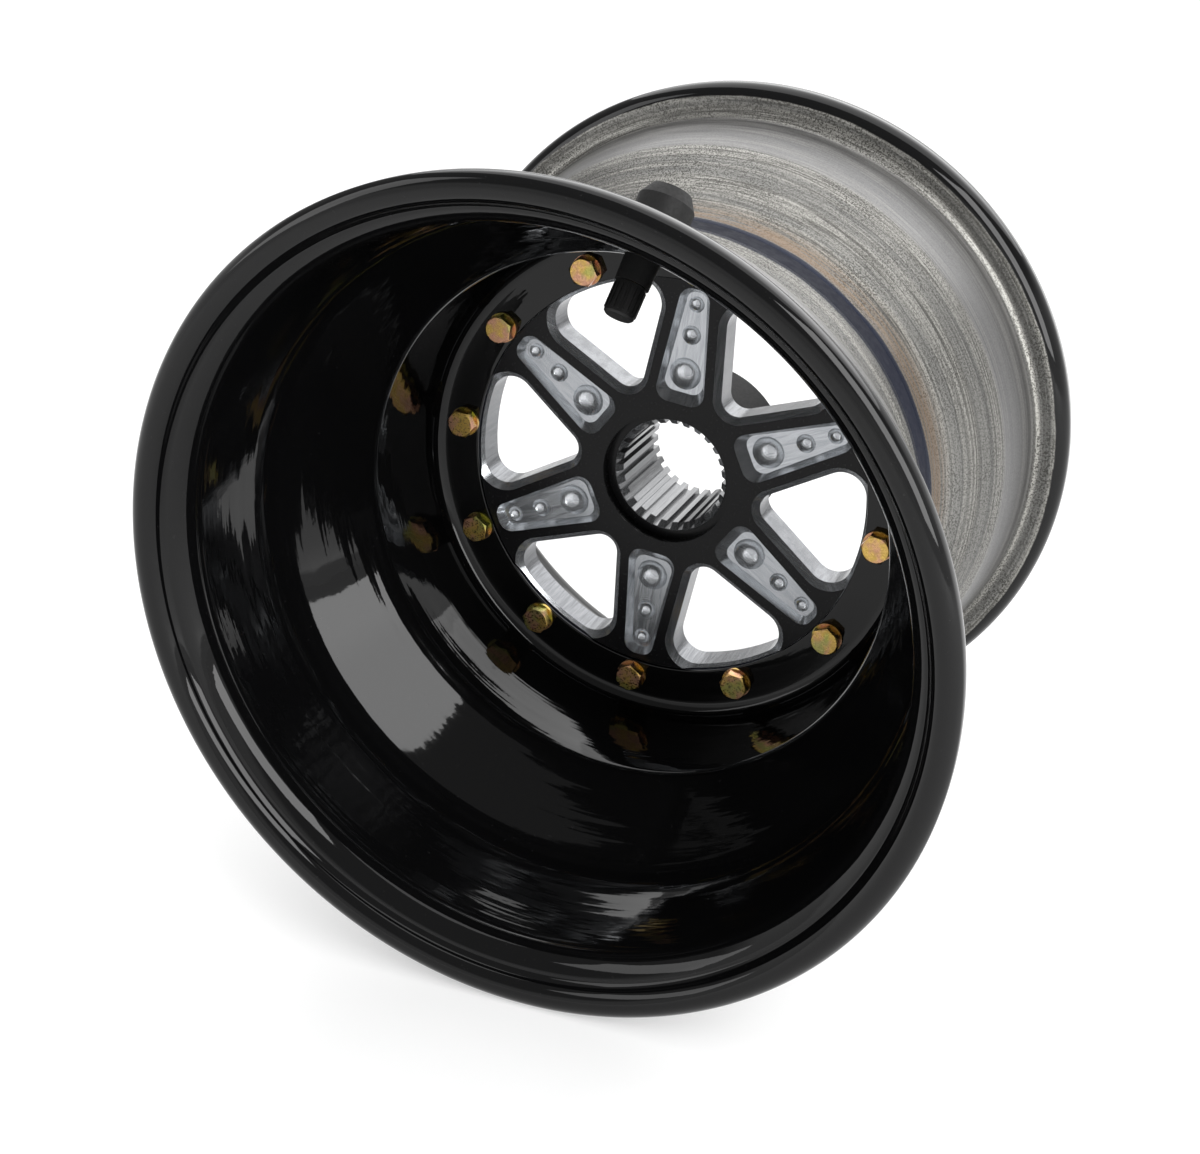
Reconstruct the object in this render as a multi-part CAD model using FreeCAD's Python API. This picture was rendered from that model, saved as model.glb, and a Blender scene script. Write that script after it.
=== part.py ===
import FreeCAD, Part
import math
import os

os.makedirs("parts", exist_ok=True)

V = FreeCAD.Vector
AXIS = V(0, 1, 0)

# Frame: the wheel's axis is +Y, its outer face looks along -Y, the origin is the wheel's centre.

# Rim halves, in mm
bead_seat_r = 126.6        # 10 inch bead seat
rim_width = 203.2          # 8 inches between the tyre faces of the flanges
flange_height = 14.4
sheet = 2.6                # spun sheet thickness
lip_rise = 10.8            # how far the lip's crest stands beyond the tyre's face of the flange
lip_front = 2.3            # how far the rolled lip stands before its crest
lip_face = 9.6             # radial width of the rolled lip
flange_bend = 7.0          # bend from the flange up to the crest
throat_swell = 2.0         # how far the bead behind the lip bulges toward the axle
well_r = 99.0              # inside radius of the well
well_fillet = 6.0
outer_seat_u = 61.0        # where the deep half's cone meets its bead seat
outer_seat_drop = 3.8      # how far below the bead seat that is, on the inside
inner_seat_u = 68.0
inner_seat_drop = 8.3
bolting_width = 19.0       # bolting flange, from the well's wall inward
joint_y = 21.1             # where the two bolting flanges meet
outer_ridge_u = 27.6       # where the deep half's well turns into its cone
inner_ridge_u = 36.0

# Machined centre
plate = 13.5
face_y = 19.5              # front face of the centre
centre_slack = 0.5         # between the centre's edge and the bend of the well
pilot_clear = 0.2          # slack between the flanges' inner edges and the centre's step
spoke_count = 6
spoke_phase = 20.44        # degrees from +X toward +Z
spoke_walls = ((40.0, 15.6), (72.0, 12.6))   # radius and half width of a spoke at two places
window_step = 1.4          # from the bolting flange's inner edge in to a window
window_tip = 6.5
window_corner = 9.0
window_bevel = 2.6
hub_r = 34.5
hub_length = 44.3          # front face to rear face
counterbore_r = 25.9
counterbore_depth = 4.9
teeth = 27                 # 16/32 diametral pitch
spline_major_r = 22.7
spline_minor_r = 20.4
spline_tooth_share = 0.5   # tooth width over one pitch
pocket_depth = 3.3
pocket_r_in = 31.6
pocket_step = 2.6          # from the bolting flange's inner edge in to a pocket
pocket_half_in = 10.2
pocket_half_out = 5.6
pocket_wall = 2.0          # how far the pocket's sloping wall runs in
pocket_corner = 5.4
dimples = ((0.249, 6.3), (0.587, 3.7), (0.852, 3.1))   # share of the pocket's length, radius
dimple_depth_share = 0.55  # depth of a dimple over its radius

# Fasteners
bolt_count = 12
bolt_inset = 13.14         # from the well's wall in to the bolt circle
bolt_r = 3.0
bolt_hole_clear = 0.15
thread_clear = 0.02
head_flats = 10.0
head_height = 4.0
washer_r = 5.9
washer_thick = 1.2
bolt_short = 0.5           # how far the bolts end inside the centre's back

# Valve
valve_angle = 76.7
valve_u = 55.4
valve_hole_r = 5.75
valve_fit = 0.03           # slack between turned valve pieces
head_r = 9.5
head_depth = 10.0
collar_r = 6.3
collar_end_r = 5.7
collar_length = 20.4
stem_r = 3.85
stem_bore_r = 2.2
stem_beyond = 8.6          # stem past the collar
stem_start = -9.0
cap_r = 5.0
cap_length = 10.9
cap_gap = 0.3
cap_wall_end = 1.6
cap_ribs = 18
rib_height = 0.35
core_length = 11.0
core_recess = 1.4          # how far the core sits below the stem's mouth
core_bore_r = 1.25
pin_r = 0.7
pin_plug_r = 1.7
pin_plug_length = 1.8
pin_seal = 0.8
seal_gap = 0.05            # left open so that the pin can move
spring_wire_r = 0.16
spring_turns = 6

sealant_below = 0.7        # how far the bead lies below the well's outside
sealant_from = 1.5         # where it starts, out from the bend

lip_r = bead_seat_r + flange_height
flange_u = rim_width / 2
crest_u = flange_u + lip_rise
flange_hole_r = well_r - bolting_width
bolt_pitch_r = well_r - bolt_inset
bend_r = well_r - well_fillet
bend_depth = well_fillet + sheet
centre_r = bend_r - centre_slack
window_r_out = flange_hole_r - window_step
pocket_r_out = flange_hole_r - pocket_step
sealant_r = well_r + sheet - sealant_below
sealant_in_r = bend_r + sealant_from
plate_back_y = face_y + plate
front_flange_y = joint_y - sheet
seat_y = joint_y + sheet


def point(r, y):
    return V(r, y, 0)


def arc(a, middle, b):
    return Part.Arc(a, middle, b).toShape()


def line(a, b):
    return Part.makeLine(a, b)


def revolve(edges):
    """Solid of revolution about the wheel's axis from a closed run of edges."""
    wire = Part.Wire(Part.__sortEdges__(edges))
    return Part.Face(wire).revolve(V(0, 0, 0), AXIS, 360)


def chain(points):
    """Edges through points; a point given as (middle, end) makes an arc."""
    edges = []
    last = points[0]
    for item in points[1:]:
        if isinstance(item, tuple):
            edges.append(arc(last, item[0], item[1]))
            last = item[1]
        else:
            edges.append(line(last, item))
            last = item
    edges.append(line(last, points[0]))
    return edges


def corner(centre_r, centre_u, radius, degrees, side):
    a = math.radians(degrees)
    return point(centre_r + radius * math.cos(a), side * (centre_u + radius * math.sin(a)))


def rim_half(joint_u, ridge_u, seat_u, seat_drop, side):
    """One spun half: bolting flange, well, cone, bead seat, flange and rolled lip.

    joint_u is where the bolting flanges meet, ridge_u where the well turns into the cone,
    seat_u where the cone meets the bead seat; they run outward from the wheel's middle.
    """
    seat_r = bead_seat_r - seat_drop
    def p(r, u):
        return point(r, side * u)
    bend_u = joint_u + bend_depth
    slope = math.atan2(seat_r - well_r, seat_u - ridge_u)
    lean = sheet * math.tan(slope / 2)
    fillet = 5.0
    toe_u = flange_u - fillet
    crest_r = lip_r - flange_bend
    bend_end_u = flange_u + flange_bend
    lip_in_r = lip_r - lip_face
    lip_mid_r = lip_r - lip_face * 0.46
    groove_u = crest_u - 1.7
    bead_r, bead_u = lip_in_r - 0.9, groove_u - 1.4
    throat_r, throat_u = bead_seat_r - sheet, flange_u - 3.0
    run_r, run_u = bead_r - throat_r, bead_u - throat_u
    swell = throat_swell / math.hypot(run_r, run_u)
    swell_r = (bead_r + throat_r) / 2 - swell * run_u
    swell_u = (bead_u + throat_u) / 2 + swell * run_r
    outline = [
        p(flange_hole_r, joint_u),
        p(bend_r, joint_u),
        (corner(bend_r, bend_u, bend_depth, -45, side), p(well_r + sheet, bend_u)),
        p(well_r + sheet, ridge_u - lean),
        p(seat_r + sheet, seat_u - lean * 0.4),
        p(bead_seat_r, toe_u),
        (corner(bead_seat_r + fillet, toe_u, fillet, 135, side), p(bead_seat_r + fillet, flange_u)),
        p(crest_r, flange_u),
        (corner(crest_r, bend_end_u, flange_bend, -45, side), p(lip_r, bend_end_u)),
        p(lip_r, crest_u - 0.6),
        (p(lip_mid_r, crest_u + lip_front), p(lip_in_r, groove_u)),
        p(bead_r, bead_u),
        (p(swell_r, swell_u), p(throat_r, throat_u)),
        p(seat_r, seat_u),
        p(well_r, ridge_u),
        p(well_r, bend_u),
        (corner(bend_r, bend_u, well_fillet, -45, side), p(bend_r, joint_u + sheet)),
        p(flange_hole_r, joint_u + sheet),
    ]
    return revolve(chain(outline))


def cylinder(radius, y0, y1):
    return Part.makeCylinder(radius, y1 - y0, V(0, y0, 0), AXIS)


def around(shape, degrees):
    """Turns a shape about the wheel's axis, from +X toward +Z."""
    turned = shape.copy()
    turned.rotate(V(0, 0, 0), AXIS, -degrees)
    return turned


def flat_face(points, y):
    """Face in the plane at y from a closed run of (x, z) points and arcs."""
    lifted = []
    for item in points:
        if isinstance(item[0], tuple):
            lifted.append(tuple(V(x, y, z) for x, z in item))
        else:
            lifted.append(V(item[0], y, item[1]))
    return Part.Face(Part.Wire(chain(lifted)))


def lies_along_axis(edge):
    a, b = edge.Vertexes[0].Point, edge.Vertexes[-1].Point
    return abs(a.x - b.x) < 1e-6 and abs(a.z - b.z) < 1e-6 and abs(a.y - b.y) > 1


def window_body(y0, y1):
    """Window between two spokes that narrow outward, on +X."""
    half = math.radians(180 / spoke_count)

    def wall(place):
        r, h = place
        return r * math.cos(half) + h * math.sin(half), r * math.sin(half) - h * math.cos(half)

    near, far = wall(spoke_walls[0]), wall(spoke_walls[1])
    slope = (far[1] - near[1]) / (far[0] - near[0])
    apex = near[0] - near[1] / slope
    share = slope * slope
    under = (share * apex) ** 2 - (1 + share) * (share * apex * apex - window_r_out ** 2)
    x = (share * apex + math.sqrt(under)) / (1 + share)
    top = (x, slope * (x - apex))
    low = (x, -top[1])
    solid = flat_face([(apex, 0.0), top, ((window_r_out, 0.0), low)], y0).extrude(V(0, y1 - y0, 0))
    tips = [e for e in solid.Edges if lies_along_axis(e) and e.Vertexes[0].Point.x < apex + 1]
    solid = solid.makeFillet(window_tip, tips)
    corners = [e for e in solid.Edges if lies_along_axis(e) and e.Vertexes[0].Point.x > x - 1]
    return solid.makeFillet(window_corner, corners)


def rounded_wire(corners, radii, y):
    """Closed wire at height y through (x, z) corners, each rounded by its radius."""
    spots = [V(x, y, z) for x, z in corners]
    count = len(spots)
    ends = []
    for k in range(count):
        here = spots[k]
        back = (spots[k - 1] - here).normalize()
        ahead = (spots[(k + 1) % count] - here).normalize()
        half = math.acos(max(-1.0, min(1.0, back.dot(ahead)))) / 2
        run = radii[k] / math.tan(half)
        middle = (back + ahead).normalize()
        crown = here + middle * (radii[k] / math.sin(half) - radii[k])
        ends.append((here + back * run, crown, here + ahead * run))
    edges = []
    for k in range(count):
        edges.append(arc(*ends[k]))
        edges.append(line(ends[k][2], ends[(k + 1) % count][0]))
    return Part.Wire(edges)


def pocket_body():
    """Tapered pocket with sloping walls and rounded corners, on +X."""
    def wire(inset, y):
        r0 = pocket_r_in + inset * 1.9
        r1 = pocket_r_out - inset
        a = pocket_half_in - inset
        b = pocket_half_out - inset
        near = pocket_corner - inset * 0.6
        far = b * 0.9
        return rounded_wire([(r0, -a), (r1, -b), (r1, b), (r0, a)], [near, far, far, near], y)
    return Part.makeLoft([wire(0, face_y), wire(pocket_wall, face_y + pocket_depth)], True, True)


def spline_gap(y0, y1):
    """Space between two spline teeth on +X."""
    pitch = 2 * math.pi / teeth
    half = pitch * (1 - spline_tooth_share) / 2
    lean = 0.13 * half
    top = half * 0.74
    low = half + lean
    root = spline_minor_r - 0.6
    points = [
        (root * math.cos(low), -root * math.sin(low)),
        (root * math.cos(low), root * math.sin(low)),
        (spline_major_r * math.cos(top), spline_major_r * math.sin(top)),
        (spline_major_r * math.cos(top), -spline_major_r * math.sin(top)),
    ]
    return flat_face(points, y0).extrude(V(0, y1 - y0, 0))


def wheel_centre():
    hub_back = face_y + hub_length
    body = cylinder(centre_r, face_y, plate_back_y)
    hub = cylinder(hub_r, plate_back_y - 1, hub_back)
    rear_edge = [e for e in hub.Edges if abs(e.CenterOfMass.y - hub_back) < 1e-6]
    body = body.fuse(hub.makeChamfer(1.5, rear_edge))
    spline_front = face_y + counterbore_depth
    body = body.cut(cylinder(counterbore_r, face_y - 1, spline_front))
    body = body.cut(cylinder(spline_minor_r, spline_front - 1, hub_back + 1))
    lead = spline_major_r + 0.3 - spline_minor_r
    body = body.cut(Part.makeCone(spline_minor_r + lead, spline_minor_r, lead, V(0, spline_front, 0), AXIS))
    gap = spline_gap(spline_front - 1, hub_back + 1)
    step = 360 / teeth
    body = body.cut([around(gap, k * step) for k in range(teeth)])
    straight = window_body(face_y - 1, plate_back_y + 1)
    pitch = 360 / spoke_count
    between = [spoke_phase + (k + 0.5) * pitch for k in range(spoke_count)]
    body = body.cut([around(straight, angle) for angle in between])
    front = [f for f in body.Faces if abs(f.CenterOfMass.y - face_y) < 1e-6 and f.Surface.TypeId == "Part::GeomPlane"]
    face = max(front, key=lambda f: f.Area)
    rims = [e for w in face.Wires for e in w.Edges if is_window_edge(w)]
    body = body.makeChamfer(window_bevel, rims)
    rabbet = cylinder(centre_r + 1, face_y - 1, seat_y)
    body = body.cut(rabbet.cut(cylinder(flange_hole_r - pilot_clear, face_y - 2, seat_y + 1)))
    pocket = pocket_body()
    tools = []
    for k in range(spoke_count):
        tools.append(around(pocket, spoke_phase + k * pitch))
    body = body.cut(tools)
    floor_y = face_y + pocket_depth
    for share, radius in dimples:
        r = pocket_r_in + share * (pocket_r_out - pocket_r_in)
        depth = radius * dimple_depth_share
        ball_r = (radius * radius + depth * depth) / (2 * depth)
        ball = Part.makeSphere(ball_r, V(r, floor_y + depth - ball_r, 0))
        keep = Part.makeCylinder(radius, depth + 2, V(r, floor_y - 1, 0), AXIS)
        dimple = ball.common(keep)
        body = body.cut([around(dimple, spoke_phase + k * pitch) for k in range(spoke_count)])
    return body.cut(bolt_holes(thread_clear))


def is_window_edge(wire):
    box = wire.BoundBox
    middle = math.hypot(box.Center.x, box.Center.z)
    return middle > hub_r


def bolt_spots():
    step = 360 / bolt_count
    return [spoke_phase + k * step for k in range(bolt_count)]


def ring_of(shape):
    return Part.makeCompound([around(shape, angle) for angle in bolt_spots()])


def at_bolt(radius, y0, y1):
    return Part.makeCylinder(radius, y1 - y0, V(bolt_pitch_r, y0, 0), AXIS)


def bolt_holes(clear):
    hole = at_bolt(bolt_r + clear, front_flange_y - 1, plate_back_y + 1)
    return [around(hole, angle) for angle in bolt_spots()]


def hexagon(flats, y0, y1):
    corner_r = flats / math.sqrt(3)
    spots = []
    for k in range(6):
        a = math.radians(60 * k)
        spots.append((bolt_pitch_r + corner_r * math.cos(a), corner_r * math.sin(a)))
    prism = flat_face(spots, y0).extrude(V(0, y1 - y0, 0))
    return prism


def turned_end(prism, flats, y0, y1):
    """Takes the corners off a hexagon's outer end with a shallow cone."""
    corner_r = flats / math.sqrt(3)
    drop = (corner_r - flats / 2) * 0.58
    r_end = flats / 2 * 0.985
    cone = Part.makeCone(r_end, corner_r + 0.02, drop, V(bolt_pitch_r, y0, 0), AXIS)
    return prism.common(cone.fuse(at_bolt(corner_r + 0.02, y0 + drop, y1)).removeSplitter())


front_washer_y = front_flange_y - washer_thick
head_top_y = front_washer_y - head_height
bolt_end_y = plate_back_y - bolt_short


def rim_bolt():
    head = hexagon(head_flats, head_top_y, front_washer_y)
    head = turned_end(head, head_flats, head_top_y, front_washer_y)
    shank = at_bolt(bolt_r, front_washer_y - 0.5, bolt_end_y)
    tip = [e for e in shank.Edges if abs(e.CenterOfMass.y - bolt_end_y) < 1e-6]
    return head.fuse(shank.makeChamfer(0.6, tip))


def washer(y0):
    return at_bolt(washer_r, y0, y0 + washer_thick).cut(at_bolt(bolt_r + bolt_hole_clear, y0 - 1, y0 + 3))


outer_half = rim_half(-joint_y, outer_ridge_u, outer_seat_u, outer_seat_drop, -1).cut(bolt_holes(bolt_hole_clear))
inner_half = rim_half(joint_y, inner_ridge_u, inner_seat_u, inner_seat_drop, 1).cut(bolt_holes(bolt_hole_clear))

cone_rise = bead_seat_r - outer_seat_drop - well_r
cone_slope = math.atan2(cone_rise, outer_seat_u - outer_ridge_u)
valve_wall_r = well_r + (valve_u - outer_ridge_u) * math.tan(cone_slope)
outward = V(math.cos(cone_slope), math.sin(cone_slope), 0)
valve_base = V(valve_wall_r, -valve_u, 0)


def placed(shape):
    """Carries a valve piece from its own axis, +Z into the bowl, to its place in the rim."""
    turn = FreeCAD.Rotation(V(0, 0, 1), outward.negative())
    moved = shape.copy()
    moved.Placement = FreeCAD.Placement(valve_base, turn).multiply(moved.Placement)
    return around(moved, valve_angle)


def post(radius, w0, w1):
    return Part.makeCylinder(radius, w1 - w0, V(0, 0, w0))


def tube(outer, inner, w0, w1):
    return post(outer, w0, w1).cut(post(inner, w0 - 1, w1 + 1))


valve_hole = placed(post(valve_hole_r, -sheet - 4, 4))
outer_half = outer_half.cut(valve_hole)

head_end = -sheet - head_depth
dome = Part.makeCone(head_r * 0.72, head_r, head_depth * 0.45, V(0, 0, head_end))
rubber = dome.fuse([
    post(head_r, head_end + head_depth * 0.45, -sheet + 0.3),
    post(valve_hole_r, -sheet - 1, 1),
    Part.makeCone(collar_r, collar_end_r, collar_length + 0.5, V(0, 0, -0.5)),
]).cut(post(stem_r, stem_start - 0.01, collar_length + 1))
rubber = rubber.cut(post(stem_bore_r, head_end - 1, stem_start + 1))
valve_body = placed(rubber).cut(outer_half)

stem_end = collar_length + stem_beyond
stem = tube(stem_r, stem_bore_r, stem_start, stem_end)
core_top = stem_end - core_recess
core_low = core_top - core_length
core = tube(stem_bore_r - valve_fit, core_bore_r, core_low, core_top)
guide_low = core_top - 2.0
core = core.fuse(tube(core_bore_r + 0.2, pin_r + valve_fit, guide_low, core_top))
plug_top = core_low - pin_seal
pin = post(pin_r, plug_top - 0.5, core_top + 0.4)
pin = pin.fuse(post(pin_plug_r, plug_top - pin_plug_length, plug_top))
seal_ring = tube(pin_plug_r, pin_r, plug_top, core_low - seal_gap)

spring_low = core_low + 1.6
spring_span = guide_low - 0.4 - spring_low
spring_mid_r = (core_bore_r + pin_r) / 2
helix = Part.makeHelix(spring_span / spring_turns, spring_span, spring_mid_r)
wire_end = Part.Wire(Part.makeCircle(spring_wire_r, V(spring_mid_r, 0, 0), V(0, 1, 0)))
coil = Part.Wire(helix).makePipeShell([wire_end], True, True)
coil.translate(V(0, 0, spring_low))

cap_low = collar_length + cap_gap
cap_top = cap_low + cap_length
bore_top = cap_top - cap_wall_end
cap = post(cap_r, cap_low, cap_top)
cap = cap.makeChamfer(0.7, [e for e in cap.Edges if abs(e.CenterOfMass.z - cap_top) < 1e-6])
rib = Part.makeBox(2 * rib_height, 0.7, cap_length - 2.4, V(cap_r - rib_height, -0.35, cap_low + 0.8))
ribs = []
for k in range(cap_ribs):
    one = rib.copy()
    one.rotate(V(0, 0, 0), V(0, 0, 1), 360 / cap_ribs * k)
    ribs.append(one)
cap = cap.fuse(ribs).cut(post(stem_r + valve_fit, cap_low - 1, bore_top))
cap_seal = tube(stem_r - 0.2, stem_bore_r - 0.4, stem_end + cap_gap, bore_top)

groove = revolve(chain([
    point(sealant_in_r, joint_y - bend_depth),
    point(sealant_r, joint_y - bend_depth),
    point(sealant_r, joint_y + bend_depth),
    point(sealant_in_r, joint_y + bend_depth),
]))
sealant = groove.cut([outer_half, inner_half])
sealant = min(sealant.Solids, key=lambda s: abs(s.CenterOfMass.y - joint_y))

nodes = {
    "outer_rim_half": outer_half,
    "inner_rim_half": inner_half,
    "wheel_centre": wheel_centre(),
    "rim_bolts": ring_of(rim_bolt()),
    "bolt_washers": ring_of(washer(front_washer_y)),
    "joint_sealant": sealant,
    "valve_body": valve_body,
    "valve_stem": placed(stem),
    "valve_core": placed(core),
    "valve_pin": placed(pin),
    "valve_pin_seal": placed(seal_ring),
    "valve_spring": placed(coil),
    "valve_cap": placed(cap),
    "valve_cap_seal": placed(cap_seal),
}
for name, shape in nodes.items():
    shape.exportStep("parts/" + name + ".step")
    box = shape.BoundBox
    spans = [round(v, 1) for v in (box.XMin, box.XMax, box.YMin, box.YMax, box.ZMin, box.ZMax)]
    print(name, len(shape.Solids), shape.isValid(), round(shape.Volume), spans)
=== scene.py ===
# %% [markdown]
# # A three-piece racing wheel
# The real wheel is two spun aluminium shells bolted to a machined centre, with a snap-in valve.
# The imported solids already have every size, so this lesson dresses them. The two shells are turned
# again as fine lathe surfaces, because gloss paint shows every facet, and each metal gets a finish
# of its own. The other pieces keep their solids, whose edges are already right.

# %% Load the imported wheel
import math
import bpy
import numpy as np
from mathutils import Matrix, Vector


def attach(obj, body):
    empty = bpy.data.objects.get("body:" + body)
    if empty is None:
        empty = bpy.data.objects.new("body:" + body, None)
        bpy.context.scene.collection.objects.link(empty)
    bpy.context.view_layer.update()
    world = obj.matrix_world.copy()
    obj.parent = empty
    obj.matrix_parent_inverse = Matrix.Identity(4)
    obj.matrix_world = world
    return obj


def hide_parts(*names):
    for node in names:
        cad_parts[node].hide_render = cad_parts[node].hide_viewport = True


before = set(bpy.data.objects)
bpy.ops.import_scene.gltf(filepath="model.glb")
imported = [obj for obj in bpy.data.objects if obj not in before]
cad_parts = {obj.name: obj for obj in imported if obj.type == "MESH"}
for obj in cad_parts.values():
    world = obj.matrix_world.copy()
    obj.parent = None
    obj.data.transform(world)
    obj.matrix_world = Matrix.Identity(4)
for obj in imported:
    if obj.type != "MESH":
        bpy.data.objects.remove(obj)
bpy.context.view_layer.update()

# %% [markdown]
# ## The shells' sizes
# All lengths are in metres. The wheel's axis is +Y, its deep side looks along -Y, and u runs from
# the wheel's middle out towards a lip. The values are the part's own, so that the turned shells lie
# on the solids that they stand for.

# %% Sizes of the shells
MM = 0.001
BEAD_SEAT_R = 126.6 * MM
RIM_WIDTH = 203.2 * MM
SHEET = 2.6 * MM
WELL_R = 99.0 * MM
WELL_FILLET = 6.0 * MM
FLANGE_HOLE_R = 80.0 * MM
FLANGE_BEND = 7.0 * MM
TOE_FILLET = 5.0 * MM
JOINT_Y = 21.1 * MM
OUTER_RIDGE_U = 27.6 * MM
INNER_RIDGE_U = 36.0 * MM
OUTER_SEAT = (122.8 * MM, 61.0 * MM)
INNER_SEAT = (118.3 * MM, 68.0 * MM)
print("bead seat", BEAD_SEAT_R * 2, "m across, rim", RIM_WIDTH, "m wide")

# %% Sizes of the rolled lip and the throat behind it
LIP_R = BEAD_SEAT_R + 14.4 * MM
LIP_FACE = 9.6 * MM
LIP_FRONT = 2.3 * MM
LIP_TOP_SHARE = 0.46
LIP_EDGE = 0.6 * MM
LIP_DROP = 1.7 * MM
CREST_U = 112.4 * MM
GROOVE_STEP = 0.9 * MM
GROOVE_DEPTH = 1.4 * MM
THROAT_BACK = 3.0 * MM
THROAT_SWELL = 2.0 * MM
print("lip", LIP_R * 2, "m across")

# %% [markdown]
# ## Curves for an outline
# A spun sheet has no sharp bend: the roller leaves an arc. An outline could be rounded by a Bevel
# modifier after it is turned, but then every bend would get the same radius. Here each bend is
# worked out as points, so that it can have the radius that its roller left.

# %% Arcs and eased corners
def arc_points(a, middle, b, count):
    """Points on the circle through a, middle and b.

    The centre c solves |c - a|^2 = |c - middle|^2 = |c - b|^2, which is linear in c:
    2 (middle - a) . c = |middle|^2 - |a|^2 and 2 (b - a) . c = |b|^2 - |a|^2.
    """
    a, middle, b = (np.array(p, float) for p in (a, middle, b))
    rows = 2 * np.array([middle - a, b - a])
    right = np.array([middle @ middle - a @ a, b @ b - a @ a])
    centre = np.linalg.solve(rows, right)
    angles = [math.atan2(*(p - centre)[::-1]) for p in (a, middle, b)]
    steps = np.unwrap(angles)
    if not min(steps[0], steps[2]) <= steps[1] <= max(steps[0], steps[2]):
        steps[2] += math.copysign(2 * math.pi, steps[1] - steps[2])
    t = np.linspace(steps[0], steps[2], count)
    radius = np.linalg.norm(a - centre)
    return centre + radius * np.stack([np.cos(t), np.sin(t)], 1)


def eased(before, tip, after, radius, count=7):
    """Rounds a corner by the quadratic curve (1-t)^2 start + 2t(1-t) tip + t^2 end.

    Start and end lie one radius from the tip, towards the points before and after it.
    """
    before, tip, after = (np.array(p, float) for p in (before, tip, after))
    start = tip + (before - tip) * min(0.5, radius / np.linalg.norm(before - tip))
    end = tip + (after - tip) * min(0.5, radius / np.linalg.norm(after - tip))
    t = np.linspace(0, 1, count)[:, None]
    return (1 - t) ** 2 * start + 2 * t * (1 - t) * tip + t ** 2 * end


def bent(centre, radius, degrees):
    """The point of a bend that lies at an angle: centre + radius (cos, sin)."""
    a = math.radians(degrees)
    return (centre[0] + radius * math.cos(a), centre[1] + radius * math.sin(a))


print("a quarter turn in 3 points:", arc_points((1, 0), bent((0, 0), 1, 45), (0, 1), 3).round(3).tolist())

# %% [markdown]
# ## A shell's outline
# Seen in section, a shell is one closed line. It runs from the bolting flange over the tyre side to
# the lip, rolls over the lip, and comes back along the painted side. Each point carries a mark that
# says which side it is on, and the finish reads that mark later.

# %% The bare tyre side
RIDGE_OUT_EASE = 7.0 * MM
SEAT_OUT_EASE = 10.0 * MM
SEAT_OUT_LEAN = 0.4


def tyre_side(joint_u, ridge_u, seat, bend):
    """Runs of the bare side, as arcs through three points and eased corners.

    It lies one sheet's thickness outside the painted side, so a corner between two runs moves back
    by thickness * tan(turn / 2).
    """
    flange_u = RIM_WIDTH / 2
    slope = math.atan2(seat[0] - WELL_R, seat[1] - ridge_u)
    lean = SHEET * math.tan(slope / 2)
    toe = (BEAD_SEAT_R + TOE_FILLET, flange_u - TOE_FILLET)
    crest = (LIP_R - FLANGE_BEND, flange_u + FLANGE_BEND)
    well = (WELL_R + SHEET, bend[1])
    ridge = (WELL_R + SHEET, ridge_u - lean)
    seat_out = (seat[0] + SHEET, seat[1] - lean * SEAT_OUT_LEAN)
    toe_start = (BEAD_SEAT_R, toe[1])
    return [
        [(FLANGE_HOLE_R, joint_u)],
        arc_points((bend[0], joint_u), bent(bend, WELL_FILLET + SHEET, -45), well, 12),
        eased(well, ridge, seat_out, RIDGE_OUT_EASE),
        eased(ridge, seat_out, toe_start, SEAT_OUT_EASE),
        arc_points(toe_start, bent(toe, TOE_FILLET, 135), (toe[0], flange_u), 10),
        arc_points((crest[0], flange_u), bent(crest, FLANGE_BEND, -45), (LIP_R, crest[1]), 14),
    ]


# %% The painted side
GROOVE_EASE = 0.6 * MM
THROAT_EASE = 1.2 * MM
SEAT_EASE = 9.0 * MM
RIDGE_EASE = 2.2 * MM
EDGE_EASE = 0.5 * MM


def painted_side(joint_u, ridge_u, seat, bend):
    """Runs of the painted side: lip roll, groove, swelled throat, seat, cone, well and flange.

    The throat is the arc through its two ends and a point that lies the swell's height square off
    the middle between them.
    """
    lip_top = (LIP_R - LIP_FACE * LIP_TOP_SHARE, CREST_U + LIP_FRONT)
    lip_in = (LIP_R - LIP_FACE, CREST_U - LIP_DROP)
    groove = (lip_in[0] - GROOVE_STEP, lip_in[1] - GROOVE_DEPTH)
    throat = (BEAD_SEAT_R - SHEET, RIM_WIDTH / 2 - THROAT_BACK)
    run = np.subtract(groove, throat)
    square = np.array((-run[1], run[0])) / np.linalg.norm(run)
    swell = np.add(groove, throat) / 2 + THROAT_SWELL * square
    ridge = (WELL_R, ridge_u)
    well = (WELL_R, bend[1])
    flange = (bend[0], joint_u + SHEET)
    hole = (FLANGE_HOLE_R, joint_u + SHEET)
    return [
        arc_points((LIP_R, CREST_U - LIP_EDGE), lip_top, lip_in, 26),
        eased(lip_in, groove, swell, GROOVE_EASE, 5),
        arc_points(groove, swell, throat, 16)[1:-2],
        eased(swell, throat, seat, THROAT_EASE),
        eased(throat, seat, ridge, SEAT_EASE),
        eased(seat, ridge, well, RIDGE_EASE),
        arc_points(well, bent(bend, WELL_FILLET, -45), flange, 12),
        eased(flange, hole, (FLANGE_HOLE_R, joint_u), EDGE_EASE, 5),
    ]


# %% The closed outline
def rim_outline(joint_u, ridge_u, seat):
    """Closed outline of one shell as (r, u) points, and a mark that is 1 on its painted side."""
    bend = (WELL_R - WELL_FILLET, joint_u + SHEET + WELL_FILLET)
    bare = tyre_side(joint_u, ridge_u, seat, bend)
    painted = painted_side(joint_u, ridge_u, seat, bend)
    points = np.concatenate([np.array(run, float) for run in bare + painted])
    bare_count = sum(len(run) for run in bare)
    return points, (np.arange(len(points)) >= bare_count).astype(float)


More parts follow.
